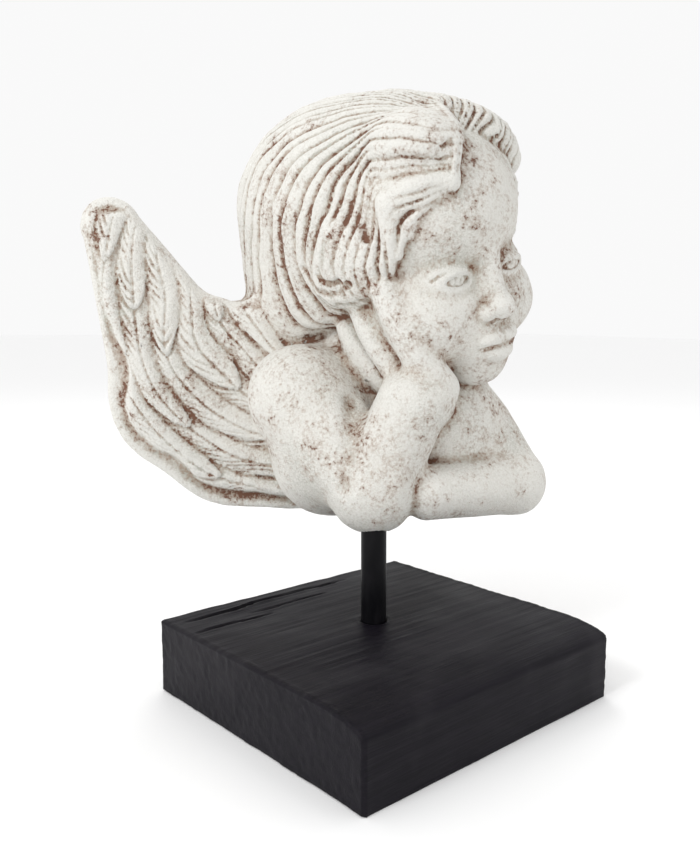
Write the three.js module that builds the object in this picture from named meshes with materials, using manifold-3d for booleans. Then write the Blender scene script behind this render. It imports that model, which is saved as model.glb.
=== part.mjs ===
// A small winged putto bust in whitewashed cast stone. The child leans on both elbows and rests its
// right cheek in its right hand. The bust is held up by a round steel rod, which stands in a square
// wooden block. Millimetres, +Z up. The origin is the centre of the block's underside, and the putto
// faces -Y, so its right is -X.
//
// The figure is one casting, so it is one solid: a field gives each point's rough distance from the
// surface, simple forms are blended into it and carved out of it, and its zero surface is turned into
// a mesh and thinned.
import * as THREE from "three";
import { mergeVertices } from "three/addons/utils/BufferGeometryUtils.js";
import Module from "manifold-3d";

// ---------------------------------------------------------------- driving dimensions
const BLOCK_SIDE = 150;
const BLOCK_HEIGHT = 35;
const BLOCK_CORNER = 1.8; // radius of the upright corners
const BLOCK_ARRIS = 1.2; // worn edges
const BLOCK_ROUND = { wide: 32, deep: 6.5 }; // the front edge of the plank's top is rounded over
const ROD_RADIUS = 6;
const ROD_AT = [-1, 6];
const ROD_SINK = 22; // how deep the rod is let into the block
const ROD_IN_FIGURE = 30; // and into the bust
const FIT_GAP = 0.3;
const FIGURE_BASE = 76; // height of the plane the bust was made to stand on
const MIDDLE = 42; // x of the bust's own centre plane
const CELL = 2.4; // spacing of the grid that the figure's field is sampled on
const FIGURE_TRIANGLES = 9000;

const HEAD_AT = [41, 32, 215];
const HEAD_TURN = { yaw: 2, pitch: 5, roll: -14 }; // degrees: to its left, nodding, leaning on its right hand

// ---------------------------------------------------------------- field kit
const degrees = THREE.MathUtils.degToRad;
const clamp = THREE.MathUtils.clamp;
const mix = THREE.MathUtils.lerp;
const smoothstep = THREE.MathUtils.smoothstep;

function ellipsoid(p, c, r) {
  const x = (p[0] - c[0]) / r[0];
  const y = (p[1] - c[1]) / r[1];
  const z = (p[2] - c[2]) / r[2];
  const far = Math.sqrt(x * x + y * y + z * z);
  const slope = Math.sqrt((x / r[0]) ** 2 + (y / r[1]) ** 2 + (z / r[2]) ** 2);
  return slope < 1e-9 ? -Math.min(...r) : (far * (far - 1)) / slope;
}

// A tapered limb with round ends.
function limb(p, a, b, ra, rb) {
  const ab = [b[0] - a[0], b[1] - a[1], b[2] - a[2]];
  const ap = [p[0] - a[0], p[1] - a[1], p[2] - a[2]];
  const length2 = ab[0] ** 2 + ab[1] ** 2 + ab[2] ** 2;
  const t = clamp((ap[0] * ab[0] + ap[1] * ab[1] + ap[2] * ab[2]) / length2, 0, 1);
  const x = ap[0] - ab[0] * t;
  const y = ap[1] - ab[1] * t;
  const z = ap[2] - ab[2] * t;
  return Math.sqrt(x * x + y * y + z * z) - mix(ra, rb, t);
}

// A limb bent along a curve that leaves a towards b and comes to c: a lock of hair or a finger.
const BENDS = 5;
function bent(p, a, b, c, ra, rb) {
  let d = Infinity;
  let from = a;
  for (let i = 1; i <= BENDS; i++) {
    const t = i / BENDS;
    const to = [0, 1, 2].map((k) => a[k] * (1 - t) ** 2 + 2 * b[k] * t * (1 - t) + c[k] * t * t);
    d = Math.min(d, limb(p, from, to, mix(ra, rb, (i - 1) / BENDS), mix(ra, rb, t)));
    from = to;
  }
  return d;
}

// Joins two forms with a fillet about k wide.
function blend(a, b, k) {
  const h = Math.max(k - Math.abs(a - b), 0) / k;
  return Math.min(a, b) - (h * h * k) / 4;
}
const carve = (a, b, k) => -blend(-a, b, k);
const common = (a, b, k) => -blend(-a, -b, k);

// Both sides of a form that is mirrored about x = 0.
const mirrored = (p) => [Math.abs(p[0]), p[1], p[2]];

// A turned and moved frame: local(p) gives a point's place in it.
function placed(origin, { yaw = 0, pitch = 0, roll = 0 }) {
  const turn = new THREE.Matrix4().makeRotationZ(degrees(yaw));
  turn.multiply(new THREE.Matrix4().makeRotationX(degrees(pitch)));
  turn.multiply(new THREE.Matrix4().makeRotationY(degrees(roll)));
  const e = turn.elements;
  return (p) => {
    const x = p[0] - origin[0];
    const y = p[1] - origin[1];
    const z = p[2] - origin[2];
    return [
      x * e[0] + y * e[1] + z * e[2],
      x * e[4] + y * e[5] + z * e[6],
      x * e[8] + y * e[9] + z * e[10],
    ];
  };
}

// ---------------------------------------------------------------- head
const inHead = placed(HEAD_AT, HEAD_TURN);

function face(q) {
  const m = mirrored(q);
  let d = ellipsoid(q, [0, 22, 12], [50, 72, 52]);
  d = blend(d, ellipsoid(q, [0, -15, 18], [46, 47, 42]), 10);
  d = blend(d, ellipsoid(q, [0, -14, -22], [43, 42, 44]), 10);
  d = blend(d, ellipsoid(m, [23, -34, -29], [22, 22, 21]), 10);
  d = blend(d, ellipsoid(q, [0, -44, -56], [15, 12, 11]), 9);
  d = blend(d, ellipsoid(q, [0, -48, -42], [18, 13, 14]), 9);
  d = carve(d, ellipsoid(m, [19, -64, -8], [14, 11, 8]), 9);
  // eyelids and brows
  d = blend(d, ellipsoid(m, [19, -44, -10], [11.5, 10.5, 7]), 3);
  d = blend(d, bent(m, [9, -54, -8], [19, -58, 0], [30, -47, -9], 1.6, 1.6), 2);
  // nose
  d = blend(d, limb(q, [0, -54, 0], [0, -59, -24], 4, 5.5), 8);
  d = blend(d, ellipsoid(q, [0, -61.5, -26.5], [6.8, 6, 5.6]), 4);
  d = blend(d, ellipsoid(m, [7, -57, -28.5], [4, 5, 3.8]), 2);
  // lips
  d = blend(d, ellipsoid(m, [4.3, -57, -41.5], [8.5, 5.6, 3.8]), 2.5);
  return blend(d, ellipsoid(q, [0, -57, -48.5], [9, 6, 4.4]), 2.5);
}

// The hairline: how high up the face the hair begins, at a bearing round the head from the nose.
const HAIRLINE = [
  [-62, -40], [-53, -14], [-47, 1], [-38, 15], [-20, 29], [-8, 40],
  [2, 56], [12, 42], [36, 30], [45, 8], [62, -40],
];

function along(track, t) {
  const last = track.length - 1;
  let i = 0;
  while (i < last - 1 && t > track[i + 1][0]) i++;
  const u = clamp((t - track[i][0]) / (track[i + 1][0] - track[i][0]), 0, 1);
  return mix(track[i][1], track[i + 1][1], u);
}

// How far a point lies inside the hair's edge.
function hairEdge(q) {
  const bearing = THREE.MathUtils.radToDeg(Math.atan2(q[0], -q[1]));
  const far = Math.hypot(q[0], q[1], q[2]);
  const lift = Math.asin(clamp(q[2] / (far + 1e-6), -1, 1));
  const front = (lift - degrees(along(HAIRLINE, bearing))) * Math.min(far, 70);
  const below = (q[2] + 24 + 0.5 * q[1]) * 0.89;
  return Math.min(Math.abs(bearing) > 62 ? 99 : front, below + 20 * Math.exp(-((q[0] / 30) ** 2)));
}

// Grooves that part the locks. They run round a short line at each temple, given by its ends' y and z.
const TEMPLE_LINE = [[-29, 36, 0], [-20, -4, 0]];
// On the right the line turns forward into the groove under the front roll, and the strands follow it.
const UNDER_ROLL = [-64, 39, 0];
const LOCKS = 9;
const LOCK_DEPTH = 2.2;
function combed(q) {
  const z = Math.max(q[2], 0) + 0.5 * Math.min(q[2], 0);
  const side = [q[1], z, 0];
  const away = limb(side, TEMPLE_LINE[0], TEMPLE_LINE[1], 0, 0);
  const under = blend(away, limb(side, TEMPLE_LINE[0], UNDER_ROLL, 0, 0), 6);
  const round = under + smoothstep(q[0], -6, 0) * (away - under);
  const flat = Math.abs(q[0]);
  const sideways = flat + (1 - smoothstep(q[1], -50, -30)) * Math.max(26 - flat, 0) * 0.8;
  const turn = Math.atan2(round / 62, sideways / 56) / (Math.PI / 2);
  const wave = 0.5 + 0.5 * Math.cos(2 * Math.PI * turn * LOCKS);
  return LOCK_DEPTH * wave ** 3;
}

function hair(q) {
  const m = mirrored(q);
  let d = ellipsoid(q, [0, 25, 14], [59, 79, 59]);
  d = blend(d, ellipsoid(q, [0, 41, -16], [59, 58, 50]), 10);
  d = blend(d, ellipsoid(q, [2, -6, 46], [36, 34, 25]), 10);
  d = blend(d, bent(m, [20, -45, 32], [36, -41, 26], [39, -31, 2], 9, 8), 6);
  d = blend(d, ellipsoid(q, [-20, -30, 31], [22, 23, 18]), 8);
  d = common(d, -hairEdge(q), 4);
  d = blend(d, ellipsoid(m, [42, -8, 0], [13, 22, 20]), 8);
  d = blend(d, ellipsoid(q, [-20, -34, 49], [22, 23, 15]), 7);
  d = blend(d, bent(q, [8, -26, 57], [29, -43, 52], [45, -31, 35], 11, 9), 7);
  d += combed(q);
  // the front roll's outer edge, curling under to a tip
  d = blend(d, bent(q, [2, -27, 62], [-17, -61, 56], [-21, -55, 33], 4.5, 3.5), 4);
  // the lock over each ear, coming down and turning forward
  d = blend(d, bent(m, [46, -6, 14], [52, 19, -27], [39, -24, -9], 10, 7), 3);
  // the band below the roll, which turns down along the hairline, and the hollow behind it
  d = blend(d, bent(q, [-21, -56, 33], [-36, -48, 37], [-41, -36, 26], 2.8, 4.5), 5);
  d = blend(d, bent(q, [-41, -36, 26], [-45, -35, 17], [-41, -38, 4], 4.5, 2.5), 4);
  d = blend(d, bent(q, [-24, -53, 28], [-36, -48, 29], [-37, -43, 12], 1.8, 1.5), 2.5);
  return carve(d, bent(m, [42, -26, 36], [48, -27, 28], [47, -26, 12], 1.2, 2.2), 2);
}

function head(p) {
  const q = inHead(p);
  return blend(face(q), hair(q), 2);
}

// ---------------------------------------------------------------- body
const SHOULDER_R = [-7, 55, 139];
const SHOULDER_L = [88, 51, 138];
const ELBOW_R = [2, 10, FIGURE_BASE + 21];
const ELBOW_L = [81, -8, FIGURE_BASE + 18];
const WRIST_R = [16, -1, 137];
const WRIST_L = [24, -4, FIGURE_BASE + 19];
const NECK_BASE = [42, 50, 136];

// The right hand lies along the jaw, so its fingers are set out in the head's frame:
// base, knuckle, tip, radii.
const FINGERS = [
  [[-30, -46, -60], [-43, -42, -38], [-42, -28, -13], 9, 7],
  [[-32, -36, -64], [-45, -22, -45], [-41, -9, -24], 8, 6],
  [[-32, -26, -68], [-43, -7, -52], [-40, 4, -34], 7, 5.5],
  [[-32, -16, -70], [-40, 4, -57], [-36, 16, -40], 6, 5],
];
function hand(q) {
  let d = ellipsoid(q, [-33, -36, -62], [15, 19, 17]);
  for (const [base, knuckle, tip, thick, thin] of FINGERS) {
    d = blend(d, bent(q, base, knuckle, tip, thick, thin), 0.8);
  }
  return d;
}

function body(p) {
  let d = limb(p, SHOULDER_R, SHOULDER_L, 22, 22);
  d = blend(d, ellipsoid(p, [MIDDLE, 56, 112], [50, 34, 44]), 14);
  d = blend(d, ellipsoid(p, [MIDDLE, 66, 142], [44, 24, 26]), 14);
  d = blend(d, ellipsoid(p, [3, 48, 108], [26, 27, 28]), 14);
  d = blend(d, limb(p, [8, 58, 141], [32, 58, 156], 15, 18), 12);
  d = blend(d, limb(p, NECK_BASE, HEAD_AT, 26, 26), 14);
  d = blend(d, limb(p, SHOULDER_R, ELBOW_R, 24, 20), 10);
  d = blend(d, limb(p, SHOULDER_L, ELBOW_L, 23, 18), 10);
  d = blend(d, ellipsoid(p, [56, 10, 122], [30, 22, 30]), 18);
  d = blend(d, limb(p, ELBOW_L, WRIST_L, 17, 13), 3);
  d = blend(d, limb(p, ELBOW_R, WRIST_R, 18, 17), 6);
  d = carve(d, bent(p, [-1, 21, 139], [-17, 4, 124], [-20, 6, 104], 2, 1), 8);
  d = blend(d, hand(inHead(p)), 7);
  return d;
}

// ---------------------------------------------------------------- wings
const WING_ROOT = [10, 85];
const WING_OUT = [-0.862, 0.507];
const WING_THICK = 11;
const FAN = { wide: 100, top: 190, tall: 112 }; // the ellipses that the feathers lie along
const FEATHER = { wide: 0.135, first: 0.06, long: 62, relief: 3.2, stagger: 0.37 };

// Height of the feathers on the wing's faces: long leaves in rows, each one lapping over the next.
function feathers(s, z) {
  const out = Math.hypot(s / FAN.wide, (z - FAN.top) / FAN.tall);
  const rows = (out - FEATHER.first) / FEATHER.wide;
  const row = Math.floor(rows);
  const across = 2 * (rows - row) - 1;
  const turned = Math.atan2(FAN.top - z, s) * out * FAN.wide;
  const step = turned / FEATHER.long + row * FEATHER.stagger + 0.3 * across * across;
  const lap = step - Math.floor(step);
  const quill = Math.exp(-((across / 0.12) ** 2));
  return FEATHER.relief * (0.6 * (1 - across * across) + 0.4 * lap - 0.15 * quill);
}

// Towards the wing's outer edge the leaves give way to a plain rim.
const RIM = { wide: 9, deep: 2.6 };

function wing(p) {
  const x = p[0] - WING_ROOT[0];
  const y = p[1] - WING_ROOT[1];
  const s = x * WING_OUT[0] + y * WING_OUT[1];
  const n = x * WING_OUT[1] - y * WING_OUT[0];
  const flat = [s, p[2], 0];
  let d = limb(flat, [88, 221, 0], [57, 150, 0], 14, 36);
  d = blend(d, limb(flat, [55, 135, 0], [30, 118, 0], 37, 38), 6);
  d = blend(d, limb(flat, [30, 118, 0], [0, 112, 0], 38, 36), 6);
  d = blend(d, limb(flat, [36, 172, 0], [0, 160, 0], 14, 26), 12);
  const thick = WING_THICK + 8 * Math.exp(-((s / 28) ** 2)) - FEATHER.relief / 2;
  const outer = smoothstep(s + 0.6 * (150 - p[2]), 0, 40) * (0.35 + 0.65 * (1 - smoothstep(p[2], 150, 190)));
  const lower = RIM.deep * outer * smoothstep(d + RIM.wide * outer, -2, 2);
  return common(d, Math.abs(n) - thick - feathers(s, p[2]) + lower, 5);
}

function figure(p) {
  let d = blend(body(p), head(p), 4);
  d = blend(d, wing(p), 10);
  const other = [2 * MIDDLE - p[0], p[1], p[2]];
  d = blend(d, wing(other), 10);
  return common(d, FIGURE_BASE - p[2], 4);
}

// ---------------------------------------------------------------- mesh of the field
// The corners of a cell are numbered by their bits (1 = +x, 2 = +y, 4 = +z), and six tetrahedra fill it.
const TETRAHEDRA = [[0, 1, 3, 7], [0, 1, 5, 7], [0, 2, 3, 7], [0, 2, 6, 7], [0, 4, 5, 7], [0, 4, 6, 7]];
const SKIP = 4; // cells in a lump that is passed over where the surface is far off

function sampled(field, low, high) {
  const n = [0, 1, 2].map((k) => Math.ceil((high[k] - low[k]) / CELL / SKIP) * SKIP);
  const values = new Float32Array(n[0] * n[1] * n[2]);
  const lump = CELL * SKIP;
  for (let k = 0; k < n[2]; k += SKIP) {
    for (let j = 0; j < n[1]; j += SKIP) {
      for (let i = 0; i < n[0]; i += SKIP) {
        const corner = [low[0] + i * CELL, low[1] + j * CELL, low[2] + k * CELL];
        const middle = field(corner.map((v) => v + lump / 2));
        const near = Math.abs(middle) < lump * 1.2 + 4;
        for (let c = 0; c < SKIP ** 3; c++) {
          const di = c % SKIP;
          const dj = Math.floor(c / SKIP) % SKIP;
          const dk = Math.floor(c / SKIP ** 2);
          const p = [corner[0] + di * CELL, corner[1] + dj * CELL, corner[2] + dk * CELL];
          values[i + di + n[0] * (j + dj + n[1] * (k + dk))] = near ? field(p) : middle;
        }
      }
    }
  }
  return { n, values };
}

function surface(field, low, high) {
  const { n, values } = sampled(field, low, high);
  const steps = [0, 1, 2, 3, 4, 5, 6, 7].map((c) => (c & 1) + n[0] * (((c >> 1) & 1) + n[1] * (c >> 2)));
  const place = (at) => {
    const i = at % n[0];
    const j = Math.floor(at / n[0]) % n[1];
    const k = Math.floor(at / (n[0] * n[1]));
    return [low[0] + i * CELL, low[1] + j * CELL, low[2] + k * CELL];
  };
  const points = [];
  const known = new Map();
  const crossing = (inside, outside) => {
    const key = Math.min(inside, outside) * values.length + Math.max(inside, outside);
    if (!known.has(key)) {
      const t = clamp(values[inside] / (values[inside] - values[outside]), 0.05, 0.95);
      const a = place(inside);
      const b = place(outside);
      known.set(key, points.length);
      points.push([mix(a[0], b[0], t), mix(a[1], b[1], t), mix(a[2], b[2], t)]);
    }
    return known.get(key);
  };
  const faces = [];
  const addFace = (a, b, c, inside, outside) => {
    const from = place(inside);
    const to = place(outside);
    const out = [to[0] - from[0], to[1] - from[1], to[2] - from[2]];
    const n3 = normal(points[a], points[b], points[c]);
    faces.push(n3[0] * out[0] + n3[1] * out[1] + n3[2] * out[2] > 0 ? [a, b, c] : [a, c, b]);
  };
  for (let k = 0; k < n[2] - 1; k++) {
    for (let j = 0; j < n[1] - 1; j++) {
      for (let i = 0; i < n[0] - 1; i++) {
        const cell = i + n[0] * (j + n[1] * k);
        const filled = steps.filter((step) => values[cell + step] < 0).length;
        if (filled === 0 || filled === 8) continue;
        for (const tetrahedron of TETRAHEDRA) {
          const corners = tetrahedron.map((c) => cell + steps[c]);
          const inside = corners.filter((c) => values[c] < 0);
          const outside = corners.filter((c) => values[c] >= 0);
          if (inside.length === 1 || outside.length === 1) {
            const [a, b, c] = inside.length === 1
              ? outside.map((o) => crossing(inside[0], o))
              : inside.map((o) => crossing(o, outside[0]));
            addFace(a, b, c, inside[0], outside[0]);
          } else if (inside.length === 2) {
            const rounds = [[0, 0], [0, 1], [1, 1], [1, 0]];
            const [a, b, c, d] = rounds.map(([u, v]) => crossing(inside[u], outside[v]));
            addFace(a, b, c, inside[0], outside[0]);
            addFace(a, c, d, inside[0], outside[0]);
          }
        }
      }
    }
  }
  return { points, faces };
}

function normal(a, b, c) {
  const u = [b[0] - a[0], b[1] - a[1], b[2] - a[2]];
  const v = [c[0] - a[0], c[1] - a[1], c[2] - a[2]];
  return [u[1] * v[2] - u[2] * v[1], u[2] * v[0] - u[0] * v[2], u[0] * v[1] - u[1] * v[0]];
}

// ---------------------------------------------------------------- thinning
// Edges are closed up in order of how little they move the surface: each point carries the sum of the squared
// distances from the planes of the faces that have met in it, as the ten terms of a symmetric 4 x 4 matrix.
// The features of the face are small, so there the distances count for more.
const FACE_WORTH = 5;
function worth(p) {
  const q = inHead(p);
  const fromNose = Math.hypot(q[0], q[1] + 55, q[2] + 22);
  return 1 + (FACE_WORTH - 1) * clamp((48 - fromNose) / 12, 0, 1);
}
const FLIP_LIMIT = 0.25; // cosine of the most that a face may turn in one step

function planeTerms([a, b, c], weight, d) {
  return [a * a, a * b, a * c, a * d, b * b, b * c, b * d, c * c, c * d, d * d].map((v) => v * weight);
}

function misfit(q, [x, y, z]) {
  const square = q[0] * x * x + q[4] * y * y + q[7] * z * z + q[9];
  return square + 2 * (q[1] * x * y + q[2] * x * z + q[3] * x + q[5] * y * z + q[6] * y + q[8] * z);
}

function bestPoint(q, a, b) {
  const matrix = new THREE.Matrix3().set(q[0], q[1], q[2], q[1], q[4], q[5], q[2], q[5], q[7]);
  const middle = [0, 1, 2].map((k) => (a[k] + b[k]) / 2);
  const choices = [middle, a, b];
  const size = q[0] + q[4] + q[7];
  if (Math.abs(matrix.determinant()) > 1e-4 * size ** 3) {
    const v = new THREE.Vector3(-q[3], -q[6], -q[8]).applyMatrix3(matrix.invert());
    if (v.distanceTo(new THREE.Vector3(...middle)) < 2 * CELL) choices.unshift(v.toArray());
  }
  return choices.reduce((best, p) => (misfit(q, p) < misfit(q, best) ? p : best));
}

// A heap of edges, cheapest first.
class Queue {
  items = [];
  add(item) {
    const h = this.items;
    let i = h.push(item) - 1;
    while (i > 0 && h[(i - 1) >> 1].cost > h[i].cost) {
      const up = (i - 1) >> 1;
      [h[up], h[i]] = [h[i], h[up]];
      i = up;
    }
  }
  take() {
    const h = this.items;
    const first = h[0];
    const last = h.pop();
    if (h.length === 0) return first;
    h[0] = last;
    let i = 0;
    for (;;) {
      let least = i;
      for (const child of [2 * i + 1, 2 * i + 2]) {
        if (child < h.length && h[child].cost < h[least].cost) least = child;
      }
      if (least === i) return first;
      [h[least], h[i]] = [h[i], h[least]];
      i = least;
    }
  }
}

function thinned({ points, faces }, wanted) {
  const around = points.map(() => new Set());
  const terms = points.map(() => new Array(10).fill(0));
  const version = points.map(() => 0);
  faces.forEach((f, at) => {
    const n = normal(...f.map((v) => points[v]));
    const area = Math.hypot(...n);
    const unit = n.map((v) => v / (area + 1e-12));
    const d = -(unit[0] * points[f[0]][0] + unit[1] * points[f[0]][1] + unit[2] * points[f[0]][2]);
    const plane = planeTerms(unit, area * worth(points[f[0]]), d);
    for (const v of f) {
      around[v].add(at);
      plane.forEach((value, k) => (terms[v][k] += value));
    }
  });
  const neighbours = (v) => {
    const found = new Set();
    for (const f of around[v]) faces[f].forEach((w) => found.add(w));
    found.delete(v);
    return found;
  };
  const queue = new Queue();
  const offer = (a, b) => {
    const q = terms[a].map((value, k) => value + terms[b][k]);
    const at = bestPoint(q, points[a], points[b]);
    queue.add({ cost: misfit(q, at), a, b, at, q, ages: [version[a], version[b]] });
  };
  points.forEach((_, a) => neighbours(a).forEach((b) => a < b && offer(a, b)));

  const turnsOver = (v, gone, at) => {
    for (const f of around[v]) {
      if (faces[f].includes(gone)) continue;
      const before = normal(...faces[f].map((w) => points[w]));
      const after = normal(...faces[f].map((w) => (w === v ? at : points[w])));
      const along = before[0] * after[0] + before[1] * after[1] + before[2] * after[2];
      if (along < FLIP_LIMIT * Math.hypot(...before) * Math.hypot(...after)) return true;
    }
    return false;
  };
  let left = faces.length;
  while (left > wanted && queue.items.length > 0) {
    const { a, b, at, q, ages } = queue.take();
    if (ages[0] !== version[a] || ages[1] !== version[b]) continue;
    const near = neighbours(a);
    if (!near.has(b)) continue;
    const shared = [...neighbours(b)].filter((v) => near.has(v));
    if (shared.length !== 2 || turnsOver(a, b, at) || turnsOver(b, a, at)) continue;
    for (const f of [...around[b]]) {
      if (faces[f].includes(a)) {
        faces[f].forEach((v) => around[v].delete(f));
        left--;
      } else {
        faces[f] = faces[f].map((v) => (v === b ? a : v));
        around[a].add(f);
      }
    }
    around[b] = new Set();
    points[a] = at;
    terms[a] = q;
    version[a]++;
    version[b]++;
    neighbours(a).forEach((v) => offer(a, v));
  }
  const kept = faces.filter((f, at) => around[f[0]].has(at));
  return { points, faces: kept };
}

// ---------------------------------------------------------------- solids
const wasm = await Module();
wasm.setup();

function solid(geometry) {
  const bare = geometry.clone();
  bare.deleteAttribute("normal");
  bare.deleteAttribute("uv");
  const whole = mergeVertices(bare, 1e-4);
  return new wasm.Manifold(
    new wasm.Mesh({
      numProp: 3,
      vertProperties: new Float32Array(whole.attributes.position.array),
      triVerts: new Uint32Array(whole.index.array),
    }),
  );
}

function toGeometry(manifold) {
  const mesh = manifold.getMesh();
  const geometry = new THREE.BufferGeometry();
  geometry.setAttribute("position", new THREE.BufferAttribute(new Float32Array(mesh.vertProperties), 3));
  geometry.setIndex(new THREE.BufferAttribute(new Uint32Array(mesh.triVerts), 1));
  geometry.computeVertexNormals();
  return geometry;
}

function figureSolid() {
  const low = [-92, -60, FIGURE_BASE - 8];
  const high = [2 * MIDDLE + 92, 150, 300];
  const { points, faces } = thinned(surface(figure, low, high), FIGURE_TRIANGLES);
  const geometry = new THREE.BufferGeometry();
  geometry.setAttribute("position", new THREE.Float32BufferAttribute(points.flat(), 3));
  geometry.setIndex(faces.flat());
  return solid(geometry);
}

// An upright round bar over the rod's place, from one height to another.
const ROD_SIDES = 48;
function bar(radius, from, to) {
  const geometry = new THREE.CylinderGeometry(radius, radius, to - from, ROD_SIDES);
  geometry.rotateX(Math.PI / 2);
  geometry.translate(ROD_AT[0], ROD_AT[1], (from + to) / 2);
  return geometry;
}

// The plank: its section runs along X and its front top edge is rounded over; its upright corners are eased.
function blockSolid() {
  const half = BLOCK_SIDE / 2;
  const section = new THREE.Shape();
  section.moveTo(half, 0);
  section.lineTo(half, BLOCK_HEIGHT);
  section.lineTo(-half + BLOCK_ROUND.wide, BLOCK_HEIGHT);
  section.bezierCurveTo(
    -half + BLOCK_ROUND.wide / 2, BLOCK_HEIGHT,
    -half, BLOCK_HEIGHT - BLOCK_ROUND.deep / 3,
    -half, BLOCK_HEIGHT - BLOCK_ROUND.deep,
  );
  section.lineTo(-half, 0);
  const plank = new THREE.ExtrudeGeometry(section, {
    depth: BLOCK_SIDE - 2 * BLOCK_ARRIS,
    bevelThickness: BLOCK_ARRIS,
    bevelSize: BLOCK_ARRIS,
    bevelOffset: -BLOCK_ARRIS,
    bevelSegments: 2,
    curveSegments: 12,
  });
  plank.translate(0, 0, BLOCK_ARRIS - half);
  plank.rotateX(Math.PI / 2);
  plank.rotateZ(Math.PI / 2);

  const r = BLOCK_CORNER;
  const plan = new THREE.Shape();
  plan.absarc(half - r, half - r, r, 0, Math.PI / 2);
  plan.absarc(-half + r, half - r, r, Math.PI / 2, Math.PI);
  plan.absarc(-half + r, -half + r, r, Math.PI, 1.5 * Math.PI);
  plan.absarc(half - r, -half + r, r, 1.5 * Math.PI, 2 * Math.PI);
  const upright = new THREE.ExtrudeGeometry(plan, {
    depth: 2 * BLOCK_HEIGHT,
    bevelEnabled: false,
    curveSegments: 6,
  });
  upright.translate(0, 0, -BLOCK_HEIGHT / 2);
  return solid(plank).intersect(solid(upright));
}

// ---------------------------------------------------------------- pieces
const rodFoot = BLOCK_HEIGHT - ROD_SINK;
const rodTop = FIGURE_BASE + ROD_IN_FIGURE;
const socket = solid(bar(ROD_RADIUS + FIT_GAP, rodFoot - FIT_GAP, rodTop + FIT_GAP));

const whitewash = new THREE.MeshStandardMaterial({ color: 0xd9d5cc, roughness: 0.85, metalness: 0 });
const blackSteel = new THREE.MeshStandardMaterial({ color: 0x17161a, roughness: 0.45, metalness: 0.2 });
const blackWood = new THREE.MeshStandardMaterial({ color: 0x26232b, roughness: 0.55, metalness: 0 });

function piece(name, geometry, material) {
  const mesh = new THREE.Mesh(geometry, material);
  mesh.name = name;
  return mesh;
}

const group = new THREE.Group();
group.add(piece("figure", toGeometry(figureSolid().subtract(socket)), whitewash));
group.add(piece("rod", bar(ROD_RADIUS, rodFoot, rodTop), blackSteel));
group.add(piece("block", toGeometry(blockSolid().subtract(socket)), blackWood));

export default group;
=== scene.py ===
"""A small winged putto bust in whitewashed cast stone, held up by a black rod in a black wooden block."""

import math

import bmesh
import bpy
import numpy as np
from mathutils import Euler, Matrix, Vector
from mathutils.kdtree import KDTree


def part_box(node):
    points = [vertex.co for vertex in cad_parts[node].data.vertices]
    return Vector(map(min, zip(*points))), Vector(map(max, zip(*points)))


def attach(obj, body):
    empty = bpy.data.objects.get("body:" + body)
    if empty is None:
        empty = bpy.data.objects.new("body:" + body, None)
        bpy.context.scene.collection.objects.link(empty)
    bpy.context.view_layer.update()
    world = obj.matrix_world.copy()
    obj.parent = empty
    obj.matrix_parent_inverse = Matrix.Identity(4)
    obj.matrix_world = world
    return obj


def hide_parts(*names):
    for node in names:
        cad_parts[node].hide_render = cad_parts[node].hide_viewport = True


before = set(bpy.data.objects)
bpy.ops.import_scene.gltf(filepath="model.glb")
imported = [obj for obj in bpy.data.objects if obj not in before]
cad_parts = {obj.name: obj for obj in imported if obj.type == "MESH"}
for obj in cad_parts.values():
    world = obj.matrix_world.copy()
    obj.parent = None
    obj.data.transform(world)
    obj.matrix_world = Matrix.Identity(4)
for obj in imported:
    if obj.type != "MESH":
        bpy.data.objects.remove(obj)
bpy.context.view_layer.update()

MM = 0.001

# ---------------------------------------------------------------- sizes, in millimetres
ROD_AT = (-1, 6)
ROD_RADIUS = 6
ROD_BEVEL = 0.5
ROD_SIDES = 96
SOCKET_RADIUS = 6.3
SOCKET_TOP = 106.3
FIGURE_BASE = 76  # the underside's height
MIDDLE = 42  # the x that the two wings mirror about
STONE_VOXEL = 1.0
STONE_FACES = 190000
WOOD_VOXEL = 1.1

HEAD_AT = (41, 32, 215)
HEAD_TURN = (5, -14, 2)  # degrees: nodding, leaning on its right hand, turned to its left


# ---------------------------------------------------------------- field kit
# A form is a function of points that gives their rough distance from its surface, less than nothing inside.
def ellipsoid(p, c, r):
    scaled = (p - c) / r
    far = np.linalg.norm(scaled, axis=1)
    slope = np.linalg.norm(scaled / r, axis=1) + 1e-9
    return far * (far - 1) / slope


def limb(p, a, b, ra, rb):
    a, b = np.array(a, float), np.array(b, float)
    span = b - a
    t = np.clip((p - a) @ span / (span @ span), 0, 1)
    return np.linalg.norm(p - a - t[:, None] * span, axis=1) - (ra + (rb - ra) * t)


BENDS = 5  # straight limbs in a bent one


def curve_points(a, b, c):
    t = np.linspace(0, 1, BENDS + 1)[:, None]
    return np.array(a) * (1 - t) ** 2 + 2 * np.array(b) * t * (1 - t) + np.array(c) * t * t


def bent(p, a, b, c, ra, rb):
    along = curve_points(a, b, c)
    radii = np.linspace(ra, rb, BENDS + 1)
    parts = [limb(p, along[i], along[i + 1], radii[i], radii[i + 1]) for i in range(BENDS)]
    return np.min(parts, axis=0)


def blend(a, b, k):
    """Both forms, run into each other over a width of k."""
    h = np.maximum(k - np.abs(a - b), 0) / k
    return np.minimum(a, b) - h * h * k / 4


def carve(a, b, k):
    """The first form without the second."""
    return -blend(-a, b, k)


def common(a, b, k):
    """Where both forms are."""
    return -blend(-a, -b, k)


def mirrored(p):
    return np.column_stack([np.abs(p[:, 0]), p[:, 1], p[:, 2]])


def bell(x, wide):
    return np.exp(-((x / wide) ** 2))


def step(low, high, x):
    """0 at low, 1 at high and smooth between, whichever of the two is larger."""
    t = np.clip((x - low) / (high - low), 0, 1)
    return t * t * (3 - 2 * t)


LATTICE = 32  # random values along each side of the block that repeats


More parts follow.
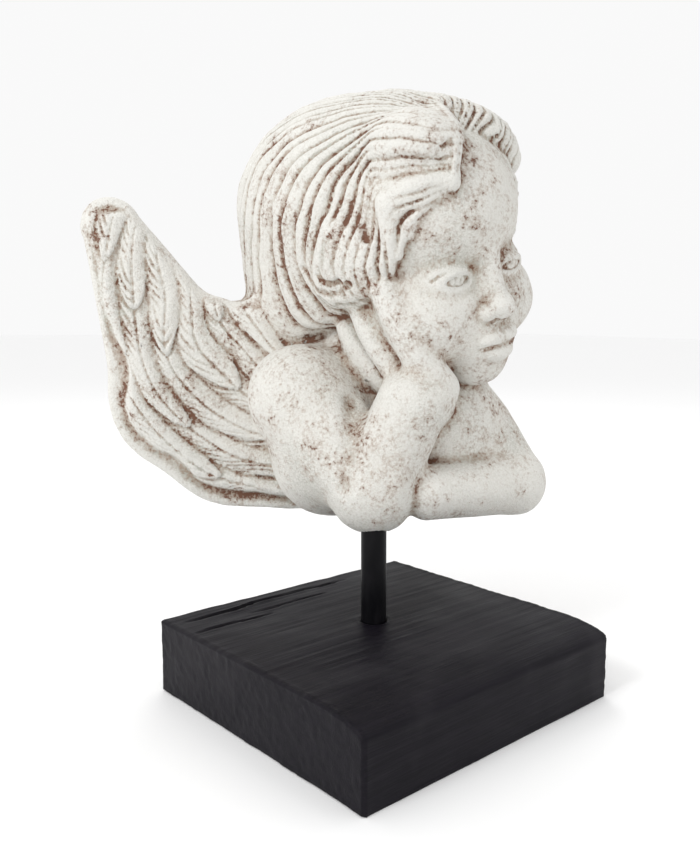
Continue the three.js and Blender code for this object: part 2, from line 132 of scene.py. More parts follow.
def lumps(p, size, seed):
    """Smooth random lumps of about this size, from -1 to 1."""
    values = np.random.default_rng(seed).uniform(-1, 1, (LATTICE,) * 3)
    at = p / size
    low = np.floor(at).astype(int)
    t = at - low
    t = t * t * (3 - 2 * t)
    total = np.zeros(len(p))
    for corner in range(8):
        shift = np.array([corner & 1, corner >> 1 & 1, corner >> 2])
        share = np.prod(np.where(shift == 1, t, 1 - t), axis=1)
        i, j, k = ((low + shift) % LATTICE).T
        total += share * values[i, j, k]
    return total


# ---------------------------------------------------------------- head
def turned(origin, angles):
    """A point's place in a moved and turned frame."""
    pitch, roll, yaw = (math.radians(v) for v in angles)
    turn = Matrix.Rotation(yaw, 3, "Z") @ Matrix.Rotation(pitch, 3, "X") @ Matrix.Rotation(roll, 3, "Y")
    axes = np.array(turn)
    return lambda p: (p - origin) @ axes


in_head = turned(HEAD_AT, HEAD_TURN)

# The hairline round the face, in degrees: each bearing from straight ahead, and how high above level it lies.
HAIRLINE = [
    (-62, -40),
    (-53, -14),
    (-47, 1),
    (-38, 15),
    (-20, 29),
    (-8, 40),
    (2, 56),
    (12, 42),
    (36, 30),
    (45, 8),
    (62, -40),
]
HAIRLINE_END = HAIRLINE[-1][0]
BEHIND_FACE = 99  # well inside the hair
SKULL_REACH = 70  # from the head's middle to the forehead
NAPE = -24  # where the hair ends below, at the head's middle depth


def hair_edge(q):
    """Rough distance inside the hair's edge, round the face and at the nape."""
    bearing = np.degrees(np.arctan2(q[:, 0], -q[:, 1]))
    far = np.linalg.norm(q, axis=1)
    lift = np.arcsin(np.clip(q[:, 2] / (far + 1e-6), -1, 1))
    line = np.interp(bearing, *zip(*HAIRLINE))
    front = (lift - np.radians(line)) * np.minimum(far, SKULL_REACH)
    front = np.where(np.abs(bearing) > HAIRLINE_END, BEHIND_FACE, front)
    below = (q[:, 2] - NAPE + 0.5 * q[:, 1]) * 0.89 + 20 * bell(q[:, 0], 30)
    return np.minimum(front, below)


def face(q):
    m = mirrored(q)
    # skull, cheeks and chin, with the hollows that the eyes lie in
    d = ellipsoid(q, [0, 22, 12], [50, 72, 52])
    d = blend(d, ellipsoid(q, [0, -15, 18], [46, 47, 42]), 10)
    d = blend(d, ellipsoid(q, [0, -14, -22], [43, 42, 44]), 10)
    d = blend(d, ellipsoid(m, [23, -34, -29], [22, 22, 21]), 10)
    d = blend(d, ellipsoid(q, [0, -44, -56], [15, 12, 11]), 9)
    d = blend(d, ellipsoid(q, [0, -48, -42], [18, 13, 14]), 9)
    d = carve(d, ellipsoid(m, [19, -64, -8], [14, 11, 8]), 9)
    # eyes: a lid over the ball, opened like an almond, with the iris and pupil cut in
    d = blend(d, ellipsoid(m, [19, -44, -10], [12.5, 11.5, 8.5]), 4)
    d = carve(d, ellipsoid(m, [19.5, -57, -11.2], [9, 7, 2.8]), 0.8)
    ball = ellipsoid(m, [19, -44, -10], [10.5, 10.2, 8])
    iris = np.hypot(m[:, 0] - 18.5, q[:, 2] + 10.8)
    ball += 0.3 * bell(iris - 3.2, 0.6) + 0.5 * bell(iris, 1.1)
    d = blend(d, ball, 0.6)
    d = carve(d, bent(m, [9, -55, -8], [19, -61, 0.5], [31, -48, -9], 0.3, 0.4), 1.8)
    # nose
    d = blend(d, limb(q, [0, -54, 0], [0, -59, -24], 4, 5.5), 8)
    d = blend(d, ellipsoid(q, [0, -61.5, -26.5], [6.8, 6, 5.6]), 4)
    d = blend(d, ellipsoid(m, [7, -57, -28.5], [4, 5, 3.8]), 2)
    d = carve(d, ellipsoid(m, [3.9, -60, -32], [2.1, 2.8, 1.8]), 1)
    # mouth
    d = blend(d, ellipsoid(m, [4.3, -57, -41.5], [8.5, 5.6, 3.8]), 2.5)
    d = blend(d, ellipsoid(q, [0, -57, -48.5], [9, 6, 4.4]), 2.5)
    d = carve(d, limb(q, [0, -63.5, -36], [0, -62.5, -32], 1.1, 0.8), 2)
    d = carve(d, bent(m, [0, -63.5, -45.2], [8, -63, -43.8], [14, -53.5, -45.5], 0.5, 0.9), 1.5)
    return d


# Strands run round a short line at each temple: from the parting, down behind the ears and forward again.
# On its right that line turns forward into the groove under the front roll, and the strands follow it.
TEMPLE_LINE = ((-29, 36), (-20, -4))
UNDER_ROLL = (-64, 39)
LOCKS = 9  # between a temple's line and the parting, with two strands in each


def valley(turns, sharp):
    """A groove's share of its depth: 1 at whole turns and 0 half way between."""
    return (0.5 + 0.5 * np.cos(2 * np.pi * turns)) ** sharp


def combed(q):
    """How deep the combed hair's grooves are."""
    drift = 0.014 * lumps(q, 23, 3) + 0.005 * lumps(q, 9, 4)
    z = np.maximum(q[:, 2], 0) + 0.5 * np.minimum(q[:, 2], 0)
    side = np.column_stack([q[:, 1], z, 0 * z])
    top, low, front = ([*end, 0] for end in (*TEMPLE_LINE, UNDER_ROLL))
    away = limb(side, low, top, 0, 0)
    near = step(0, -6, q[:, 0])
    away = away + near * (blend(away, limb(side, top, front, 0, 0), 6) - away)
    on_roll = near * step(-22, -36, q[:, 1]) * step(26, 34, q[:, 2])
    sideways = np.abs(q[:, 0]) + step(-30, -50, q[:, 1]) * np.maximum(26 - np.abs(q[:, 0]), 0) * 0.8
    turn = np.arctan2(away / 62, sideways / 56) / (np.pi / 2) + drift
    each = np.column_stack([turn * 2 * LOCKS, 0.02 * q[:, 2], np.sign(q[:, 0])])
    depth = 0.8 + 0.45 * lumps(q, 15, 5) + 0.35 * lumps(each, 1.4, 7)
    # the front roll and the bulge over each ear are almost smooth
    roll = step(6, -6, ellipsoid(q, [-14, -44, 54], [20, 22, 12]))
    ear = step(6, -3, ellipsoid(mirrored(q), [42, -8, 0], [16, 20, 18]))
    # and on its left the strands fade out before they close into a ring
    ring = step(16, 4, away) * step(4, 12, q[:, 0])
    depth = np.maximum(depth, 0.1) * (1 - 0.6 * roll) * (1 - 0.6 * ear) * (1 - 0.8 * ring)
    fine = 1.4 * valley(turn * 2 * LOCKS, 2) + 0.35 * valley(turn * 4 * LOCKS, 1)
    grooves = 1.3 * valley(turn * LOCKS, 3) + fine * (1 - 0.85 * on_roll)
    return depth * grooves


def lock(q, a, b, c, ra, rb, strands, depth):
    """A bent lock, with grooves along it that part this many strands on its outer half."""
    along = curve_points(a, b, c)
    radii = np.linspace(ra, rb, BENDS + 1)
    best = np.full(len(q), 1e9)
    angle = np.zeros(len(q))
    for i in range(BENDS):
        start, span = along[i], along[i + 1] - along[i]
        t = np.clip((q - start) @ span / (span @ span), 0, 1)
        off = q - (start + t[:, None] * span)
        d = np.linalg.norm(off, axis=1) - (radii[i] + (radii[i + 1] - radii[i]) * t)
        axis = span / np.linalg.norm(span)
        out = along[i] - axis * (along[i] @ axis)
        out /= np.linalg.norm(out)
        across = np.cross(axis, out)
        here = np.arctan2(off @ across, off @ out) / (2 * np.pi)
        closer = d < best
        best = np.where(closer, d, best)
        angle = np.where(closer, here, angle)
    return best + depth * valley(angle * 2 * strands + 0.5, 2) * step(-4, 0, best)


# notches in the front roll's edge, each from one point to another
NOTCHES = [
    ([-27, -54, 46], [-18, -59, 52]),
    ([-24, -58, 43], [-16, -62, 47]),
    ([-20, -60, 39], [-15, -63, 42]),
]


def hair(q):
    m = mirrored(q)
    # the cap of hair and its swelling at the nape, the crown, the temples, and the fill under the front roll
    d = ellipsoid(q, [0, 25, 14], [59, 79, 59])
    d = blend(d, ellipsoid(q, [0, 41, -16], [59, 58, 50]), 10)
    d = blend(d, ellipsoid(q, [2, -6, 46], [36, 34, 25]), 10)
    d = blend(d, bent(m, [20, -45, 32], [36, -41, 26], [39, -31, 2], 9, 8), 6)
    d = blend(d, ellipsoid(q, [-20, -30, 31], [22, 23, 18]), 8)
    d = common(d, -hair_edge(q), 4)
    # the bulge over each ear, the front roll, and the lock on the other side of the parting
    d = blend(d, ellipsoid(m, [42, -8, 0], [13, 22, 20]), 8)
    d = blend(d, ellipsoid(q, [-20, -34, 49], [22, 23, 15]), 7)
    d = blend(d, bent(q, [8, -26, 57], [29, -43, 52], [45, -31, 35], 11, 9), 7)
    d = d + combed(q)
    # the front roll's outer edge, curling under to a tip, with notches in it
    d = blend(d, lock(q, [2, -27, 62], [-17, -61, 56], [-21, -55, 33], 4.5, 3.5, 3, 0.6), 4)
    for from_here, to_here in NOTCHES:
        d = carve(d, limb(q, from_here, to_here, 0.7, 0.9), 1.5)
    # the lock over each ear, coming down and turning forward
    d = blend(d, lock(m, [46, -6, 14], [52, 19, -27], [39, -24, -9], 10, 7, 4, 0.8), 3)
    # the band below the roll, which turns down along the hairline, a thin strand and the hollow behind them
    d = blend(d, bent(q, [-21, -56, 33], [-36, -48, 37], [-41, -36, 26], 2.8, 4.5), 5)
    d = blend(d, bent(q, [-41, -36, 26], [-45, -35, 17], [-41, -38, 4], 4.5, 2.5), 4)
    d = blend(d, bent(q, [-24, -53, 28], [-36, -48, 29], [-37, -43, 12], 1.8, 1.5), 2.5)
    d = carve(d, bent(m, [42, -26, 36], [48, -27, 28], [47, -26, 12], 1.2, 2.2), 2)
    # the curl over each ear
    d = carve(d, bent(m, [56, 11, -2], [57, 2, -22], [52, -16, -8], 0.9, 1.3), 2)
    d = carve(d, bent(m, [56, 0, 0], [56, 2, -12], [53, -11, -7], 0.7, 1.2), 2)
    return d


def head(p):
    q = in_head(p)
    return blend(face(q), hair(q), 2)


# ---------------------------------------------------------------- body
SHOULDER_R = [-7, 55, 139]
SHOULDER_L = [88, 51, 138]
ELBOW_R = [2, 10, FIGURE_BASE + 21]
ELBOW_L = [81, -8, FIGURE_BASE + 18]
WRIST_R = [16, -1, 137]
WRIST_L = [24, -4, FIGURE_BASE + 19]
NECK_BASE = [42, 50, 136]

# each finger's base, knuckle and tip in the head's frame, and how thick it is at both ends
FINGERS = [
    ([-30, -46, -60], [-43, -42, -38], [-42, -28, -13], 9, 7),
    ([-32, -36, -64], [-45, -22, -45], [-41, -9, -24], 8, 6),
    ([-32, -26, -68], [-43, -7, -52], [-40, 4, -34], 7, 5.5),
    ([-32, -16, -70], [-40, 4, -57], [-36, 16, -40], 6, 5),
]


def hand(q):
    """The right hand, which holds the cheek."""
    d = ellipsoid(q, [-33, -36, -62], [15, 19, 17])
    for base, knuckle, tip, thick, thin in FINGERS:
        d = blend(d, bent(q, base, knuckle, tip, thick, thin), 0.8)
    return d


def body(p):
    # shoulders, chest, back and neck
    d = limb(p, SHOULDER_R, SHOULDER_L, 22, 22)
    d = blend(d, ellipsoid(p, [MIDDLE, 56, 112], [50, 34, 44]), 14)
    d = blend(d, ellipsoid(p, [MIDDLE, 66, 142], [44, 24, 26]), 14)
    d = blend(d, ellipsoid(p, [3, 48, 108], [26, 27, 28]), 14)
    d = blend(d, limb(p, [8, 58, 141], [32, 58, 156], 15, 18), 12)
    d = blend(d, limb(p, NECK_BASE, HEAD_AT, 26, 26), 14)
    # upper arms, the chest between them, and forearms
    d = blend(d, limb(p, SHOULDER_R, ELBOW_R, 24, 20), 10)
    d = blend(d, limb(p, SHOULDER_L, ELBOW_L, 23, 18), 10)
    d = blend(d, ellipsoid(p, [56, 10, 122], [30, 22, 30]), 18)
    d = blend(d, limb(p, ELBOW_L, WRIST_L, 17, 13), 3)
    d = blend(d, limb(p, ELBOW_R, WRIST_R, 18, 17), 6)
    # the crease between the right upper arm and forearm
    d = carve(d, bent(p, [-1, 21, 139], [-17, 4, 124], [-20, 6, 104], 2, 1), 8)
    return blend(d, hand(in_head(p)), 7)


# ---------------------------------------------------------------- wings
WING_ROOT = (10, 85)
WING_OUT = (-0.862, 0.507)  # the way that the right wing points, seen from above
WING_THICK = 11  # to each side of the wing's middle plane
WING_SWELL = 8  # and how much more at the root
# Rows of feathers lie round the fan's top, and each row's leaves overlap along it.
# A row's width is a share of the fan, a leaf's length and relief are in millimetres,
# and each row is shifted by a share of that length.
FAN = {"wide": 100, "top": 190, "tall": 112}
FEATHER = {"wide": 0.135, "first": 0.06, "long": 62, "relief": 3.2, "stagger": 0.37}
BARB_STEP = 6.2  # from one barb to the next


def feathers(s, z):
    """How far the feathers stand up at a distance s out from the root and a height z."""
    p = np.column_stack([s, z, 0 * s])
    s = s + 4 * lumps(p, 31, 8)
    z = z + 4 * lumps(p, 27, 9)
    out = np.hypot(s / FAN["wide"], (z - FAN["top"]) / FAN["tall"])
    rows = (out - FEATHER["first"]) / FEATHER["wide"]
    row = np.floor(rows)
    across = 2 * (rows - row) - 1
    turned_by = np.arctan2(FAN["top"] - z, s) * out * FAN["wide"]
    shingle = turned_by / FEATHER["long"] + row * FEATHER["stagger"] + 0.3 * across * across
    lap = shingle - np.floor(shingle)
    leaf = 0.6 * (1 - across * across) + 0.4 * lap - 0.2 * bell(across, 0.1)
    # barbs run out from each leaf's middle, bent, uneven and mostly on its outer half
    spread = turned_by + 11 * np.abs(across) ** 1.5 + 3.5 * lumps(p, 13, 11)
    outer_half = step(-0.6, 0.5, across + 0.8 * lumps(p, 21, 12))
    barbs = valley(spread / BARB_STEP, 1.5) * step(1, 0.8, np.abs(across)) * outer_half
    return FEATHER["relief"] * leaf - barbs * (0.5 + 0.5 * lumps(p, 15, 10))


# The leaves stop short of the wing's outer edge, where a plain rim shows. It widens downwards.
RIM = {"wide": 9, "deep": 2.6}


def wing(p):
    x, y, z = p[:, 0] - WING_ROOT[0], p[:, 1] - WING_ROOT[1], p[:, 2]
    s = x * WING_OUT[0] + y * WING_OUT[1]
    n = x * WING_OUT[1] - y * WING_OUT[0]
    # the outline, from the tip down to the root
    flat = np.column_stack([s, z, 0 * z])
    d = limb(flat, [88, 221, 0], [57, 150, 0], 14, 36)
    d = blend(d, limb(flat, [55, 135, 0], [30, 118, 0], 37, 38), 6)
    d = blend(d, limb(flat, [30, 118, 0], [0, 112, 0], 38, 36), 6)
    d = blend(d, limb(flat, [36, 172, 0], [0, 160, 0], 14, 26), 12)
    thick = WING_THICK + WING_SWELL * bell(s, 28) - FEATHER["relief"] / 2
    outer = step(0, 40, s + 0.6 * (150 - z)) * (0.35 + 0.65 * step(190, 150, z)) * step(235, 215, z)
    edge = -d - RIM["wide"] * outer - 1.5 * lumps(flat, 12, 13)
    lower = RIM["deep"] * outer * step(1.5, -1.5, edge)
    leaves = feathers(s, z) * step(-1, 4, edge) * step(0, 6, -d) * step(229, 225, z)
    return common(d, np.abs(n) - thick - leaves + lower, 4)


def figure(p):
    d = blend(body(p), head(p), 4)
    # the crease between the first finger and the cheek
    d = carve(d, bent(in_head(p), [-42, -30, -12], [-46, -42, -26], [-38, -43, -42], 0.8, 1.4), 2)
    d = blend(d, wing(p), 10)
    other = p * (-1, 1, 1) + (2 * MIDDLE, 0, 0)
    d = blend(d, wing(other), 10)
    d = common(d, FIGURE_BASE - p[:, 2], 4)
    from_rod = np.hypot(p[:, 0] - ROD_AT[0], p[:, 1] - ROD_AT[1])
    return np.maximum(d, -np.maximum(from_rod - SOCKET_RADIUS, p[:, 2] - SOCKET_TOP))


# ---------------------------------------------------------------- working a piece's mesh
def voxel_copy(node, name, voxel):
    """A copy of a CAD node's mesh, merged and remeshed to even small faces."""
    whole = bmesh.new()
    whole.from_mesh(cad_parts[node].data)
    bmesh.ops.remove_doubles(whole, verts=whole.verts, dist=1e-6)
    mesh = bpy.data.meshes.new(name)
    whole.to_mesh(mesh)
    whole.free()
    piece = bpy.data.objects.new(name, mesh)
    bpy.context.scene.collection.objects.link(piece)
    remesh = piece.modifiers.new("even faces", "REMESH")
    remesh.mode = "VOXEL"
    remesh.voxel_size = voxel * MM
    remesh.adaptivity = 0
    view = bpy.context.evaluated_depsgraph_get()
    even = bpy.data.meshes.new_from_object(piece.evaluated_get(view))
    piece.modifiers.clear()
    piece.data = even
    bpy.data.meshes.remove(mesh)
    return piece


def points_of(mesh):
    """The vertices' places, in millimetres."""
    co = np.zeros(len(mesh.vertices) * 3)
    mesh.vertices.foreach_get("co", co)
    return co.reshape(-1, 3) / MM


def set_points(mesh, points):
    mesh.vertices.foreach_set("co", (points * MM).ravel())
    mesh.update()


def normals_of(mesh):
    n = np.zeros(len(mesh.vertices) * 3)
    mesh.vertex_normals.foreach_get("vector", n)
    return n.reshape(-1, 3)


def edges_of(mesh):
    pairs = np.zeros(len(mesh.edges) * 2, int)
    mesh.edges.foreach_get("vertices", pairs)
    return pairs.reshape(-1, 2)


def neighbour_mean(values, edges, count):
    total = np.zeros((count, values.shape[1]))
    ends = np.concatenate([edges[:, 0], edges[:, 1]])
    others = np.concatenate([edges[:, 1], edges[:, 0]])
    for k in range(values.shape[1]):
        total[:, k] = np.bincount(ends, weights=values[others, k], minlength=count)
    return total / np.maximum(np.bincount(ends, minlength=count), 1)[:, None]


SLOPE_REACH = 0.4  # the distance that a slope is measured over


def slope_of(form, p):
    """A form's value at each point, and how fast it grows along each axis."""
    here = form(p)
    slope = [(form(p + shift) - here) / SLOPE_REACH for shift in np.eye(3) * SLOPE_REACH]
    return here, np.column_stack(slope)


def settle(points, form, rounds, most):
    """Moves points on to a form's surface."""
    for _ in range(rounds):
        here, slope = slope_of(form, points)
        steep = np.maximum((slope**2).sum(axis=1), 0.2)
        move = -np.clip(here, -most, most)[:, None] * slope / steep[:, None]
        size = np.linalg.norm(move, axis=1, keepdims=True)
        points = points + move * np.minimum(1, most / np.maximum(size, 1e-9))
    return points


def ease(points, edges, share):
    """Moves each point part of the way to the mean of those around it."""
    return points + share * (neighbour_mean(points, edges, len(points)) - points)


def hollow_of(mesh, points, edges, rings):
    """How far each point lies below the mean of those around it."""
    mean = points
    for _ in range(rings):
        mean = neighbour_mean(mean, edges, len(points))
    return ((mean - points) * normals_of(mesh)).sum(axis=1)


def keep_values(mesh, name, values):
    kept = mesh.attributes.new(name, "FLOAT", "POINT")
    kept.data.foreach_set("value", values.astype(np.float32))


def smooth_faces(mesh):
    mesh.polygons.foreach_set("use_smooth", np.ones(len(mesh.polygons), bool))


def thinned(piece, faces):
    """Leaves about this many triangles, most of them where the surface bends."""
    fewer = piece.modifiers.new("fewer faces", "DECIMATE")
    fewer.ratio = faces / (2 * len(piece.data.polygons))
    view = bpy.context.evaluated_depsgraph_get()
    mesh = bpy.data.meshes.new_from_object(piece.evaluated_get(view))
    piece.modifiers.clear()
    old = piece.data
    piece.data = mesh
    bpy.data.meshes.remove(old)
    return mesh


def nearest(points, others):
    """The index of the closest of the others to each point."""
    tree = KDTree(len(others))
    for i, co in enumerate(others):
        tree.insert(co, i)
    tree.balance()
    return np.array([tree.find(co)[1] for co in points])


# how many edges away the neighbours lie that a narrow groove and a broad hollow are measured against
FINE_RINGS = 3
BROAD_RINGS = 18


def carved_figure():
    piece = voxel_copy("figure", "putto", STONE_VOXEL)
    mesh = piece.data
    edges = edges_of(mesh)
    points = points_of(mesh)
    points = settle(points, figure, 2, 1.5)
    points = ease(points, edges, 0.3)
    points = settle(points, figure, 2, 0.8)
    set_points(mesh, points)
    hollow = hollow_of(mesh, points, edges, FINE_RINGS)
    deep = hollow_of(mesh, points, edges, BROAD_RINGS)
    mesh = thinned(piece, STONE_FACES)
    kept = points_of(mesh)
    match = nearest(kept, points)
    keep_values(mesh, "hollow", hollow[match])
    keep_values(mesh, "deep", deep[match])
    soft_lumps = 0.22 * lumps(kept, 7, 20) + 0.12 * lumps(kept, 3.5, 21)
    set_points(mesh, kept + normals_of(mesh) * soft_lumps[:, None])
    smooth_faces(mesh)
    return piece


# ---------------------------------------------------------------- shader kit
# the places of a colour Mix node's sockets
MIX_FACTOR = 0
MIX_COLOURS = (6, 7)
MIX_RESULT = 2


class Wire:
    """A node's output socket, which expressions can be written with."""

    def __init__(self, tree, socket):
        self.tree = tree
        self.socket = socket

    def node(self, kind, settings=None, inputs=None, output=0):
        """A new node's output. Its settings are set first, then its inputs, as values or as links."""
        made = self.tree.nodes.new(kind)
        for key, value in (settings or {}).items():
            setattr(made, key, value)
        for key, value in (inputs or {}).items():
            if isinstance(value, Wire):
                self.tree.links.new(value.socket, made.inputs[key])
            else:
                made.inputs[key].default_value = value
        return Wire(self.tree, made.outputs[output])

    def maths(self, operation, a, b):
        return self.node("ShaderNodeMath", {"operation": operation}, {0: a, 1: b})

    def __add__(self, other):
        return self.maths("ADD", self, other)

    __radd__ = __add__

    def __mul__(self, other):
        return self.maths("MULTIPLY", self, other)

    __rmul__ = __mul__

    def __sub__(self, other):
        return self.maths("SUBTRACT", self, other)

    def __rsub__(self, other):
        return self.maths("SUBTRACT", other, self)

    def ramp(self, low, high):
        """0 below low, 1 above high, and smooth between."""
        return self.node(
            "ShaderNodeMapRange",
            {"interpolation_type": "SMOOTHSTEP"},
            {"Value": self, "From Min": low, "From Max": high},
        )

    def most(self, other):
        return self.maths("MAXIMUM", self, other)

    def mixed(self, low, high):
        """A colour that goes from low to high as this value goes from 0 to 1."""
        inputs = {MIX_FACTOR: self}
        for key, value in zip(MIX_COLOURS, (low, high)):
            inputs[key] = value if isinstance(value, Wire) else (*value, 1)
        return self.node("ShaderNodeMix", {"data_type": "RGBA"}, inputs, MIX_RESULT)


class Finish:
    """A material's tree with its place on the piece and its noises to hand."""

    def __init__(self, name):
        self.material = bpy.data.materials.new(name)
        self.material.use_nodes = True
        self.tree = self.material.node_tree
        self.shader = self.tree.nodes["Principled BSDF"]
        self.start = Wire(self.tree, None)  # has no socket, and only makes nodes
        self.place = self.start.node("ShaderNodeTexCoord", output="Object")

    def value(self, name):
        """A value that is kept on the mesh under this name."""
        return self.start.node("ShaderNodeAttribute", {"attribute_name": name}, output="Fac")

    def noise(self, size_mm, detail=2, rough=0.5, stretch=(1, 1, 1), shift=0, distort=0):
        place = self.start.node(
            "ShaderNodeMapping",
            None,
            {"Vector": self.place, "Scale": stretch, "Location": (shift, shift, shift)},
        )
        return self.start.node(
            "ShaderNodeTexNoise",
            None,
            {
                "Vector": place,
                "Scale": 1 / (size_mm * MM),
                "Detail": detail,
                "Roughness": rough,
                "Distortion": distort,
            },
        )

    def put(self, name, value):
        if isinstance(value, Wire):
            self.tree.links.new(value.socket, self.shader.inputs[name])
        else:
            self.shader.inputs[name].default_value = value

    def relief(self, height, distance_mm):
        inputs = {"Height": height, "Distance": distance_mm * MM, "Strength": 1.0}
        self.put("Normal", self.start.node("ShaderNodeBump", None, inputs))


# ---------------------------------------------------------------- finishes
WASH = (0.61, 0.585, 0.53)
# the next two: a cooler wash, for random patches and for painted shade in broad hollows, and a brighter one,
# for random grain and for a painted highlight on ridges and flat parts
WASH_PATCHES_AND_SHADE = (0.47, 0.46, 0.405)
WASH_GRAIN_AND_HIGHLIGHT = (0.755, 0.745, 0.705)
CLAY = (0.155, 0.06, 0.032)
CLAY_PALE = (0.31, 0.2, 0.135)
PAINT = (0.0025, 0.0025, 0.0035)
PAINT_WORN = (0.007, 0.0065, 0.008)
STAIN = (0.0035, 0.0028, 0.0052)
STAIN_THIN = (0.0085, 0.0068, 0.011)
WOOD_HAZE = (0.026, 0.024, 0.028)
# painted shade inside the cracks
CRACK_PAINTED_SHADE = (0.001, 0.001, 0.001)


def whitewashed_stone():
    f = Finish("whitewashed stone")
    fine = f.value("hollow").most(-0.08)
    broad = f.value("deep").most(-0.6)
    speck = (f.noise(1.9, 3, 0.7, shift=5) - 0.5) * 8.5
    cluster = (f.noise(9, 4, 0.65, shift=3) - 0.5) * 6.5
    region = (f.noise(32, 2, shift=12) - 0.5) * 5
    patches = f.noise(34, 3, shift=9)
    grain = f.noise(1.0, 3, 0.65, shift=7)
    groove = fine * 3.3 + broad * 0.36
    # bare clay shows in the grooves, and in specks where the wash is thin
    want = speck + cluster + region + groove
    clay = want.ramp(1.4, 2.35)
    thin = (want + groove * 0.5).ramp(-0.7, 2.2)
    # the wash turns cooler in random patches and, as painted shade, a little in broad hollows; then it is
    # lighter on ridges and darker in grooves, as a painted highlight and painted shade, with random grain
    # mixed in
    wash_with_painted_light = (patches + cluster * 0.03 + broad * 0.03).ramp(0.42, 0.66).mixed(WASH, WASH_PATCHES_AND_SHADE)
    wash_with_painted_light = (0.5 - groove * 0.5 + (grain - 0.5) * 1.4).ramp(0.0, 0.9).mixed(wash_with_painted_light, WASH_GRAIN_AND_HIGHLIGHT)
    tint = (thin * 0.62).mixed(wash_with_painted_light, CLAY_PALE)
    f.put("Base Color", (clay * 0.86).mixed(tint, CLAY))
    f.put("Roughness", 0.88 - clay * 0.08)
    f.put("Specular IOR Level", 0.2)
    f.relief(grain * 0.8 + speck * 0.12 - clay * 0.4, 0.7)
    return f.material


def black_paint():
    f = Finish("black paint")
    wear = f.noise(6, 3, stretch=(1, 1, 0.35))
    fine = f.noise(1.2, 2, shift=2)
    f.put("Base Color", wear.ramp(0.35, 0.75).mixed(PAINT, PAINT_WORN))
    f.put("Roughness", 0.45 + (wear - 0.5) * 0.25)
    f.put("Specular IOR Level", 0.12)
    f.relief(fine * 0.6 + wear, 0.12)
    return f.material


def black_wood():
    f = Finish("black stained wood")
    crack = f.value("crack")
    grain = f.noise(2.2, 4, 0.6, stretch=(0.05, 1, 1), distort=0.4)
    fibre = f.noise(0.7, 2, 0.6, stretch=(0.04, 1, 1), shift=4)
    cloud = f.noise(45, 3, 0.6, shift=6)
    dust = f.noise(3, 5, 0.75, shift=8)
    base = (grain * 0.6 + fibre * 0.4).ramp(0.35, 0.68).mixed(STAIN, STAIN_THIN)
    haze = cloud.ramp(0.5, 0.75) * 0.55 + dust.ramp(0.62, 0.8) * 0.2
    base = haze.mixed(base, WOOD_HAZE)
    # painted shade: the cracks darken to black with their depth
    f.put("Base Color", crack.mixed(base, CRACK_PAINTED_SHADE))
    f.put("Roughness", 0.52 + (cloud - 0.5) * 0.3 + (grain - 0.5) * 0.15)
    f.put("Specular IOR Level", 0.13)
    f.relief(grain * 0.6 + fibre * 0.5, 0.25)
    return f.material


# ---------------------------------------------------------------- rod and block
def bare_object(name, shape):
    mesh = bpy.data.meshes.new(name)
    shape.to_mesh(mesh)
    shape.free()
    piece = bpy.data.objects.new(name, mesh)
    bpy.context.scene.collection.objects.link(piece)
    return piece


def painted_rod():
    low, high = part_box("rod")
    shape = bmesh.new()
    made = bmesh.ops.create_circle(shape, cap_ends=True, radius=ROD_RADIUS * MM, segments=ROD_SIDES)
    bmesh.ops.translate(shape, verts=made["verts"], vec=(ROD_AT[0] * MM, ROD_AT[1] * MM, low.z))
    foot = shape.faces[:]
    lifted = bmesh.ops.extrude_face_region(shape, geom=foot)
    top = [v for v in lifted["geom"] if isinstance(v, bmesh.types.BMVert)]
    bmesh.ops.translate(shape, verts=top, vec=(0, 0, high.z - low.z))
    ends = [e for e in shape.edges if abs(e.verts[0].co.z - e.verts[1].co.z) < 1e-7]
    bevel = {"segments": 3, "affect": "EDGES", "profile": 0.5, "material": -1}
    bmesh.ops.bevel(shape, geom=ends, offset=ROD_BEVEL * MM, **bevel)
    bmesh.ops.recalc_face_normals(shape, faces=shape.faces)
    piece = bare_object("rod_bar", shape)
    smooth_faces(piece.data)
    return piece


# Drying cracks in the block's top, along the grain: each runs from one x to another, and starts at this y.
CRACKS = [
    {"from": -68, "to": 30, "at": 64, "lean": 0.02, "wide": 0.9, "deep": 3.0},
    {"from": -72, "to": -30, "at": 47, "lean": 0.03, "wide": 0.7, "deep": 2.0},
    {"from": -40, "to": 8, "at": 55, "lean": -0.03, "wide": 0.6, "deep": 1.6},
]


def crack_depth(p):
    total = np.zeros(len(p))
    for i, crack in enumerate(CRACKS):
        length = crack["to"] - crack["from"]
        t = (p[:, 0] - crack["from"]) / length
        wander = 1.2 * lumps(p * (1, 0, 0), 14, 40 + i) + 0.4 * lumps(p * (1, 0, 0), 5, 50 + i)
        off = p[:, 1] - crack["at"] - crack["lean"] * (p[:, 0] - crack["from"]) - wander
        strong = np.clip(4 * t * (1 - t), 0, 1) ** 0.5 * (0.75 + 0.5 * lumps(p * (1, 0, 0), 9, 60 + i))
        total = np.maximum(total, crack["deep"] * strong * bell(off, crack["wide"]))
    return total


# the cracks' painted shade grows with depth and is black from here on
CRACK_SHADE_DEPTH = 1.6  # how deep a crack is where it looks black


